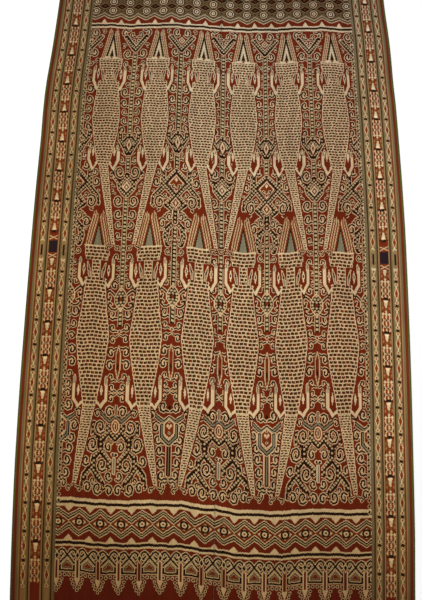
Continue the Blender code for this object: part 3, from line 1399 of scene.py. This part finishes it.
def yarn_dye(tree, across, along, sizes, colours):
    """The dye of the yarn at a place, read from its bundle's stored dyes and turns."""
    cell = add_node(tree, "SeparateXYZ", {0: add_node(tree, "UVMap", uv_map="cell")})
    in_cell_u, in_cell_v = cell, cell.node.outputs[1]
    mask = bundle_mask(tree, in_cell_u, sizes)
    slip = yarn_slip(tree, across, along, sizes)
    cell_height = 2 * HALF_LENGTH / sizes.cells_along
    reach = add_node(tree, "Math", {0: in_cell_v, 1: cell_height, 2: slip}, operation="MULTIPLY_ADD")

    # Count the turns below this place, and read that many dyes along
    count = 0.0
    for n in range(sizes.turns_a_cell):
        turn = add_node(tree, "Attribute", output=1, attribute_name="turn_%d" % (n + 1))
        turn = add_node(tree, "VectorMath", {0: turn, 1: mask}, output=1, operation="DOT_PRODUCT")
        passed = add_node(tree, "Math", {0: reach, 1: turn}, operation="GREATER_THAN")
        count = add_node(tree, "Math", {0: passed, 1: count}, operation="ADD")
    code = add_node(tree, "Attribute", output=1, attribute_name="dyes")
    code = add_node(tree, "VectorMath", {0: code, 1: mask}, output=1, operation="DOT_PRODUCT")
    code = add_node(tree, "Math", {0: code, 1: 0.5}, operation="ADD")
    step = add_node(tree, "Math", {0: float(DYES), 1: count}, operation="POWER")
    code = add_node(tree, "Math", {0: code, 1: step}, operation="DIVIDE")
    code = add_node(tree, "Math", {0: code}, operation="FLOOR")
    code = add_node(tree, "Math", {0: code, 1: float(DYES)}, operation="FLOORED_MODULO")

    # The dye's number picks its colour
    dye = add_node(tree, "Math", {0: code, 1: 0.5}, operation="ADD")
    dye = add_node(tree, "Math", {0: dye, 1: float(DYES)}, operation="DIVIDE")
    colour = add_node(tree, "ValToRGB", {0: dye})
    ramp = colour.node.color_ramp
    ramp.interpolation = "CONSTANT"
    tones = dye_colours(colours)
    ramp.elements[0].color = tones[0]
    ramp.elements[1].position = 1 / DYES
    ramp.elements[1].color = tones[1]
    for k in range(2, DYES):
        ramp.elements.new(k / DYES).color = tones[k]
    return colour


def bundle_mask(tree, in_cell_u, sizes):
    """A mask that is 1 in the part of a stored value that belongs to this place's bundle."""
    bundle = add_node(tree, "Math", {0: in_cell_u, 1: float(sizes.bundles_a_cell)}, operation="MULTIPLY")
    bundle = add_node(tree, "Math", {0: bundle, 1: sizes.bundles_a_cell - 0.001}, operation="MINIMUM")
    bundle = add_node(tree, "Math", {0: bundle}, operation="FLOOR")
    pick = [
        add_node(tree, "Math", {0: bundle, 1: float(k), 2: 0.1}, operation="COMPARE")
        for k in range(sizes.bundles_a_cell)
    ]
    return add_node(tree, "CombineXYZ", dict(enumerate(pick)))


def yarn_slip(tree, across, along, sizes):
    """How far this yarn slipped along its neighbours, in millimetres."""
    yarn = add_node(tree, "Math", {0: across, 1: sizes.yarn_spacing}, operation="DIVIDE")
    yarn = add_node(tree, "Math", {0: yarn}, operation="FLOOR")
    own = add_node(tree, "Math", {0: yarn, 1: 7.31}, operation="MULTIPLY")
    run = add_node(tree, "Math", {0: along, 1: 22.0}, operation="MULTIPLY")
    own = add_node(tree, "CombineXYZ", {0: own, 1: run})
    slip = add_node(tree, "TexNoise", {"Vector": own, "Scale": 1.0, "Detail": 0.0})
    bleed = sizes.bleed / MM
    return add_node(tree, "MapRange", {0: slip, 1: 0.25, 2: 0.75, 3: -bleed, 4: bleed}, clamp=True)


def tint_along_and_across(tree, colour, across, along):
    """The colour tinted along the cloth, darker and greyer towards its ends, and tinted across it."""
    for way, half, table in ((along, HALF_LENGTH * MM, TINT_ALONG), (across, HALF_WIDTH * MM, TINT_ACROSS)):
        share = add_node(tree, "MapRange", {0: way, 1: -half, 2: half})
        tint = add_node(tree, "ValToRGB", {0: share})
        stops = tint.node.color_ramp.elements
        stops[0].color, stops[1].color = table[0][1], table[-1][1]
        for position, value in table[1:-1]:
            stops.new(position).color = value
        colour = add_node(tree, "VectorMath", {0: colour, 1: tint}, operation="MULTIPLY")
    return colour


def tone_and_gap_shade(tree, across, along, weave):
    """How dark or light the cotton is at a place: handspun yarn takes the dye unevenly thread by
    thread, old cloth fades in broad patches, and painted shade darkens the weave's low places."""
    run = add_node(tree, "Math", {0: along, 1: 0.02}, operation="MULTIPLY")
    thread = add_node(tree, "CombineXYZ", {0: across, 1: run})
    thread = add_node(tree, "TexNoise", {"Vector": thread, "Scale": 900.0, "Detail": 2.0})
    thread = add_node(tree, "MapRange", {0: thread, 1: 0.3, 2: 0.7, 3: 0.80, 4: 1.20})
    run = add_node(tree, "Math", {0: along, 1: 0.10}, operation="MULTIPLY")
    band = add_node(tree, "CombineXYZ", {0: across, 1: run})
    band = add_node(tree, "TexNoise", {"Vector": band, "Scale": 70.0, "Detail": 3.0})
    band = add_node(tree, "MapRange", {0: band, 1: 0.3, 2: 0.7, 3: 0.88, 4: 1.12})
    place = add_node(tree, "UVMap", uv_map="cloth")
    patch = add_node(tree, "TexNoise", {"Vector": place, "Scale": 4.5, "Detail": 4.0})
    patch = add_node(tree, "MapRange", {0: patch, 1: 0.35, 2: 0.65, 3: 0.90, 4: 1.08})
    # Painted shade: darker where the weave is low, in the gaps between the yarns
    gap_shade = add_node(tree, "MapRange", {0: weave, 1: 0.0, 2: 0.6, 3: 0.72, 4: 1.06}, clamp=True)
    tone = add_node(tree, "Math", {0: thread, 1: band}, operation="MULTIPLY")
    tone = add_node(tree, "Math", {0: tone, 1: patch}, operation="MULTIPLY")
    return add_node(tree, "Math", {0: tone, 1: gap_shade}, operation="MULTIPLY")


def weave_height(tree, across, along, sizes):
    """The height of a warp-faced plain weave: upright yarns that dip under each second pick."""
    yarn = add_node(tree, "Math", {0: across, 1: math.pi / sizes.yarn_spacing}, operation="MULTIPLY")
    yarn = add_node(tree, "Math", {0: yarn}, operation="SINE")
    pick = add_node(tree, "Math", {0: along, 1: math.pi / sizes.pick_spacing}, operation="MULTIPLY")
    pick = add_node(tree, "Math", {0: pick}, operation="SINE")
    dip = add_node(tree, "Math", {0: yarn, 1: pick}, operation="MULTIPLY")
    ridge = add_node(tree, "Math", {0: yarn}, operation="ABSOLUTE")
    dip = add_node(tree, "Math", {0: dip, 1: 0.3, 2: 0.0}, operation="MULTIPLY_ADD")
    return add_node(tree, "Math", {0: ridge, 1: dip}, operation="ADD")


def dye_colours(colours):
    """The dyes' colours in the plan's order."""
    names = (
        "red", "cream", "black", "olive", "indigo", "crimson",
        "tan", "green", "pale", "grey", "brown", "rust", "straw",
    )
    return [list(getattr(colours, name)) + [1.0] for name in names]


def sewing_cotton(name, colour):
    """Waxed sewing cotton: two plies that show as a fine twist, slightly shinier than the cloth."""
    material, tree, shader = new_material(name)
    place = add_node(tree, "TexCoord", output=3)
    twist = add_node(tree, "TexNoise", {"Vector": place, "Scale": 1800.0, "Detail": 2.0})
    low = [v * 0.6 for v in colour[:3]] + [1.0]
    tone = add_node(tree, "Mix", {0: twist, 6: low, 7: colour}, output=2, data_type="RGBA")
    tree.links.new(tone, shader.inputs["Base Color"])
    bump = add_node(tree, "Bump", {"Height": twist, "Strength": 0.4, "Distance": 0.0002})
    tree.links.new(bump, shader.inputs["Normal"])
    shader.inputs["Roughness"].default_value = 0.7
    return material


def matt_floor(colour):
    """Matt white painted board, with a trace of roller texture."""
    material, tree, shader = new_material("Matt white painted board")
    place = add_node(tree, "TexCoord", output=3)
    grain = add_node(tree, "TexNoise", {"Vector": place, "Scale": 400.0, "Detail": 3.0})
    bump = add_node(tree, "Bump", {"Height": grain, "Strength": 0.05, "Distance": 0.0005})
    tree.links.new(bump, shader.inputs["Normal"])
    shader.inputs["Base Color"].default_value = list(colour) + [1.0]
    shader.inputs["Roughness"].default_value = 0.95
    return material


# Settings

def colour_setting(name, description, value):
    """A colour that shows as a picker, from an sRGB hex value."""
    return FloatVectorProperty(
        name=name, description=description, default=linear(value)[:3], size=3, subtype="COLOR", min=0, max=1
    )


def length_setting(name, description, value):
    """A length in metres."""
    return FloatProperty(
        name=name, description=description, default=value, min=0, unit="LENGTH", precision=5
    )


def angle_setting(name, description, degrees):
    """An angle, from its value in degrees."""
    return FloatProperty(
        name=name, description=description, default=math.radians(degrees), subtype="ANGLE"
    )


class ClothSizes(bpy.types.PropertyGroup):
    """Sizes of the weave and of the mesh that carries it"""

    cells_across: IntProperty(
        name="Cells across", description="Mesh cells across one panel", default=97, min=4
    )
    cells_along: IntProperty(
        name="Cells along", description="Mesh cells along the cloth", default=393, min=4
    )
    bundles_a_cell: IntProperty(
        name="Bundles a cell",
        description="Bundles of yarn, dyed as one, in a mesh cell",
        default=3,
        min=1,
        max=3,
    )
    turns_a_cell: IntProperty(
        name="Turns a cell",
        description="Most turns of dye along one bundle in a cell",
        default=5,
        min=1,
        max=5,
    )
    tick: length_setting("Tick", "Step along the warp in the dye plan", 0.0005)
    bleed: length_setting("Bleed", "How far single yarns slip past their bundle", 0.0009)
    thickness: length_setting("Thickness", "Cloth thickness", 0.0012)
    hem_thickness: length_setting("Hem thickness", "Thickness of the turned hem", 0.0024)
    hem_width: length_setting("Hem width", "Width of the turned hem", 0.012)
    yarn_spacing: length_setting("Yarn spacing", "From one warp yarn to the next", 0.0005)
    pick_spacing: length_setting("Pick spacing", "From one weft pick to the next", 0.0009)


class DyeColours(bpy.types.PropertyGroup):
    """Colours of the dyes"""

    red: colour_setting("Ground red", "Maroon ground of the field", "611f08")
    cream: colour_setting("Cream", "Undyed yarn in the tied parts", "c4ab80")
    black: colour_setting("Black brown", "Darkest overdyed lines", "221105")
    olive: colour_setting("Olive", "Grey olive of outlines and stripes", "5f4f32")
    indigo: colour_setting("Indigo", "Dark middle marks", "201518")
    crimson: colour_setting("Crimson brown", "Border stripes and the crooks of the limbs", "5c200c")
    tan: colour_setting("Tan", "Brown olive of the plain stripes", "7d6038")
    green: colour_setting("Selvedge green", "Outermost yarns", "4b4a1c")
    pale: colour_setting("Pale grey cream", "Dots in the chains and joints in the bodies", "b0956a")
    grey: colour_setting("Green grey", "Hands, wings and jaw triangles", "746b52")
    brown: colour_setting("Brown", "Darker dashes of the bodies", "3c1d08")
    rust: colour_setting("Rust", "Redder dashes, stripes of the jaws and small hearts", "6a290a")
    straw: colour_setting("Straw", "Edges of the small motifs, where some dye crept in", "c4a478")


class SewingSizes(bpy.types.PropertyGroup):
    """Sizes of the stitches"""

    thread_radius: length_setting("Thread radius", "Radius of the sewing thread", 0.0004)
    seam_pitch: length_setting("Seam pitch", "From one seam stitch to the next", 0.009)
    seam_reach: length_setting("Seam reach", "How far a stitch goes each side of the seam", 0.0022)
    hem_pitch: length_setting("Hem pitch", "From one hem stitch to the next", 0.011)
    hem_stitch: length_setting("Hem stitch", "Length of a hem stitch", 0.005)
    hem_margin: length_setting("Hem margin", "From the selvedge to the first hem stitch", 0.006)
    thread: colour_setting("Thread", "Sewing cotton", "4a2413")


class StageSettings(bpy.types.PropertyGroup):
    """Floor, light and camera"""

    floor: colour_setting("Floor", "Painted board", "ececec")
    floor_size: length_setting("Floor size", "Side of the square floor", 14.0)
    sky: FloatProperty(
        name="Surround", description="Strength of the even light from all round", default=0.62
    )
    lamp: FloatProperty(
        name="Lamp", description="Power of the large soft lamp", default=120.0, unit="POWER"
    )
    lamp_size: length_setting("Lamp size", "Side of the square lamp", 3.2)
    distance: length_setting("Distance", "Lens to cloth on the lens's axis", 2.527)
    tilt: angle_setting("Tilt", "How far the view is from straight down", 16.6)
    roll: angle_setting("Roll", "How far the camera is turned about its axis", 0.93)
    lens: FloatProperty(name="Lens", description="Focal length", default=50.0, unit="CAMERA")


# Where the lamp hangs, where it points and where the camera points, in metres
LAMP_PLACE = Vector((-0.9, 0.5, 3.6))
LAMP_AIM = Vector((0.0, -0.1, 0.0))
CAMERA_AIM = Vector((-0.0205, -0.158, 0.0))

# How far the floor lies under the cloth, so that the two surfaces don't meet
FLOOR_DROP = 0.0004


# Operators

class CLOTH_OT_panels(bpy.types.Operator):
    """Weave and dye both loom panels"""

    bl_idname = "ikat_cloth.panels"
    bl_label = "Weave Panels"

    def execute(self, context):
        sizes, colours = context.scene.cloth_sizes, context.scene.dye_colours
        plan = plan_of_the_cloth(sizes.cells_across * sizes.bundles_a_cell, sizes.tick / MM)
        cotton = dyed_cotton(sizes, colours)
        for name, side, node in (("left_cloth", -1, "panel_left"), ("right_cloth", 1, "panel_right")):
            panel, p, q = grid_panel(name, side, sizes)
            store_turns(panel.data, plan, side, p, q, sizes)
            give_thickness(panel, q, sizes)
            panel.data.materials.clear()
            panel.data.materials.append(cotton)
            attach(panel, "root")
            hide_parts(node)
        return {"FINISHED"}


class CLOTH_OT_sewing(bpy.types.Operator):
    """Sew the seam and the hems"""

    bl_idname = "ikat_cloth.sewing"
    bl_label = "Sew Seam and Hems"

    def execute(self, context):
        sizes, sewing = context.scene.cloth_sizes, context.scene.sewing_sizes
        cotton = sewing_cotton("Waxed sewing cotton", list(sewing.thread) + [1.0])
        for name, runs in (
            ("seam_stitches", seam_runs(sizes, sewing)),
            ("upper_hem_stitches", hem_runs(1, sizes, sewing)),
            ("lower_hem_stitches", hem_runs(-1, sizes, sewing)),
        ):
            thread = sew(name, runs, sewing.thread_radius)
            thread.data.materials.append(cotton)
            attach(thread, "root")
        return {"FINISHED"}


def seam_runs(sizes, sewing):
    """The seam's slanting stitches, each one a low arch over the two selvedges."""
    length = 2 * (HALF_LENGTH * MM - sizes.hem_width)
    count = int(length / sewing.seam_pitch)
    runs = []
    for k in range(count):
        middle = -length / 2 + (k + 0.5) * length / count
        run = []
        for step in range(7):
            share = step / 6 * 2 - 1
            x = share * sewing.seam_reach
            y = middle + share * sewing.seam_pitch * 0.28
            top = sizes.thickness + sewing.thread_radius * (1.15 - 1.5 * share**4)
            run.append((x, y, float(lift(x, y)) + top))
        runs.append(run)
    return runs


def hem_runs(end, sizes, sewing):
    """A row of running stitches along one hem, right across both panels."""
    q = end * (HALF_LENGTH * MM - sizes.hem_width * 0.82)
    half = HALF_WIDTH * MM - sewing.hem_margin
    count = int(2 * half / sewing.hem_pitch)
    runs = []
    for k in range(count):
        middle = -half + (k + 0.5) * 2 * half / count
        run = []
        for step in range(5):
            share = step / 4 * 2 - 1
            p = middle + share * sewing.hem_stitch / 2
            if abs(p) < 0.0005:
                p = 0.0005
            x, y, z = on_cloth(np.array(p), np.array(q))
            top = sizes.hem_thickness + sewing.thread_radius * (0.7 - 1.6 * share**4)
            run.append((float(x), float(y), float(z) + top))
        runs.append(run)
    return runs


def sew(name, runs, radius):
    """One mesh of short rounded threads, a curve bevelled along each run."""
    curve = bpy.data.curves.new(name, "CURVE")
    curve.dimensions = "3D"
    curve.bevel_depth = radius
    curve.bevel_resolution = 1
    curve.use_fill_caps = True
    for run in runs:
        spline = curve.splines.new("POLY")
        spline.points.add(len(run) - 1)
        spline.points.foreach_set("co", [v for point in run for v in (*point, 1.0)])
    thread = bpy.data.objects.new(name, curve)
    bpy.context.scene.collection.objects.link(thread)
    bpy.ops.object.select_all(action="DESELECT")
    thread.select_set(True)
    bpy.context.view_layer.objects.active = thread
    bpy.ops.object.convert(target="MESH")
    thread.data.shade_smooth()
    return thread


class CLOTH_OT_stage(bpy.types.Operator):
    """Lay the floor and set the light and the camera"""

    bl_idname = "ikat_cloth.stage"
    bl_label = "Set Stage"

    def execute(self, context):
        stage = context.scene.stage_settings
        bpy.ops.object.select_all(action="DESELECT")
        bpy.ops.mesh.primitive_plane_add(size=stage.floor_size, location=(0, 0, -FLOOR_DROP))
        floor = context.active_object
        floor.name = "floor"
        floor.data.materials.append(matt_floor(stage.floor))
        surround(context.scene, stage.sky)
        bpy.ops.object.light_add(type="AREA", location=LAMP_PLACE)
        lamp = context.active_object
        lamp.data.shape = "SQUARE"
        lamp.data.size = stage.lamp_size
        lamp.data.energy = stage.lamp
        lamp.rotation_euler = (LAMP_AIM - LAMP_PLACE).to_track_quat("-Z", "Y").to_euler()
        place_camera(context.scene, stage)
        return {"FINISHED"}


def surround(scene, strength):
    """An even white light from all round."""
    world = bpy.data.worlds.new("Studio white")
    world.use_nodes = True
    light = world.node_tree.nodes["Background"]
    light.inputs["Color"].default_value = (1.0, 1.0, 1.0, 1.0)
    light.inputs["Strength"].default_value = strength
    scene.world = world
    scene.view_settings.view_transform = "Standard"


def place_camera(scene, stage):
    """The camera looks down at the cloth from the side of its lower end, turned a little."""
    ahead = Vector((0, math.sin(stage.tilt), -math.cos(stage.tilt)))
    up = Vector((0, math.cos(stage.tilt), math.sin(stage.tilt)))
    right = Vector((1, 0, 0))
    turned_right = right * math.cos(stage.roll) + up * math.sin(stage.roll)
    turned_up = up * math.cos(stage.roll) - right * math.sin(stage.roll)
    camera = bpy.data.objects.new("camera", bpy.data.cameras.new("camera"))
    camera.data.lens = stage.lens
    camera.data.sensor_width = 36.0
    camera.data.clip_end = 50.0
    turn = Matrix((turned_right, turned_up, -ahead)).transposed()
    place = CAMERA_AIM - ahead * stage.distance
    camera.matrix_world = Matrix.Translation(place) @ turn.to_4x4()
    scene.collection.objects.link(camera)
    scene.camera = camera


class CLOTH_PT_panel(bpy.types.Panel):
    """Lists the steps and settings in the sidebar"""

    bl_label = "Ikat Cloth"
    bl_idname = "CLOTH_PT_panel"
    bl_space_type = "VIEW_3D"
    bl_region_type = "UI"
    bl_category = "Ikat Cloth"

    def draw(self, context):
        scene = context.scene
        for group, operator in (
            (scene.cloth_sizes, "ikat_cloth.panels"),
            (scene.dye_colours, None),
            (scene.sewing_sizes, "ikat_cloth.sewing"),
            (scene.stage_settings, "ikat_cloth.stage"),
        ):
            box = self.layout.box()
            for name in group.bl_rna.properties.keys():
                if name not in ("rna_type", "name"):
                    box.prop(group, name)
            if operator:
                box.operator(operator)


GROUPS = {
    "cloth_sizes": ClothSizes,
    "dye_colours": DyeColours,
    "sewing_sizes": SewingSizes,
    "stage_settings": StageSettings,
}
OTHERS = (CLOTH_OT_panels, CLOTH_OT_sewing, CLOTH_OT_stage, CLOTH_PT_panel)


def register():
    for name, group in GROUPS.items():
        bpy.utils.register_class(group)
        setattr(bpy.types.Scene, name, PointerProperty(type=group))
    for kind in OTHERS:
        bpy.utils.register_class(kind)


def unregister():
    for kind in reversed(OTHERS):
        bpy.utils.unregister_class(kind)
    for name, group in reversed(list(GROUPS.items())):
        delattr(bpy.types.Scene, name)
        bpy.utils.unregister_class(group)


def main():
    register()
    bpy.ops.ikat_cloth.stage()
    bpy.ops.ikat_cloth.panels()
    bpy.ops.ikat_cloth.sewing()


if __name__ == "__main__":
    main()
